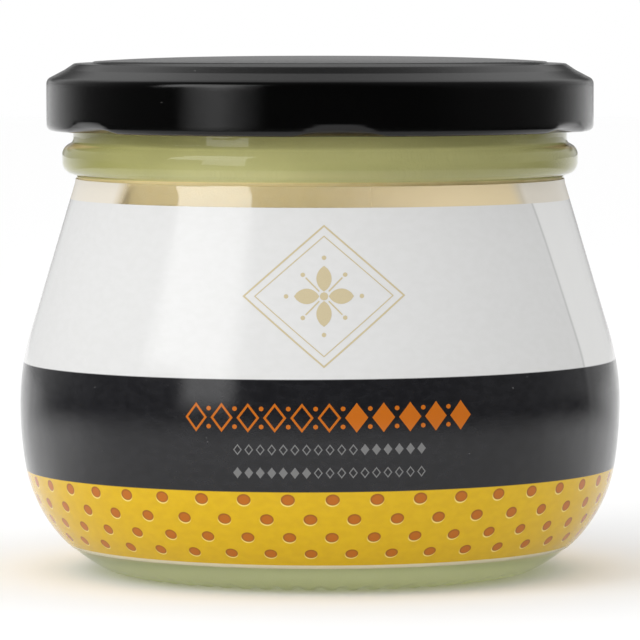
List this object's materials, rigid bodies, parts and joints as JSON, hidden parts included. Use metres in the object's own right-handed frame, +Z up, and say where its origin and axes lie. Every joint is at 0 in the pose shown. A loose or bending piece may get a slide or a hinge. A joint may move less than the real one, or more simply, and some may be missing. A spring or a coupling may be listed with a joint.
{
  "type": "mustard jar",
  "caption": "Squat round-bellied glass jar of mustard, closed by a twist-off metal lid and wrapped in a banded, dotted film sleeve.",
  "frame": {"origin": "middle of the base, on the surface the jar stands on", "axes": "+Z up along the jar's axis, the label's front faces -Y, +X to the right of the front"},
  "size_m": [0.0944, 0.0944, 0.0809],
  "materials": {
    "glass": "clear pressed glass with a faint green tint",
    "mustard": "smooth cream-coloured mustard, moist",
    "lid_paint": "gloss black lacquer on thin steel",
    "sleeve_film": "gloss film, white over charcoal over yellow with orange dots"
  },
  "bodies": {
    "root": {"jar_glass": "glass", "mustard": "mustard", "lid": "lid_paint", "label_sleeve": "sleeve_film"}
  },
  "joints": []
}
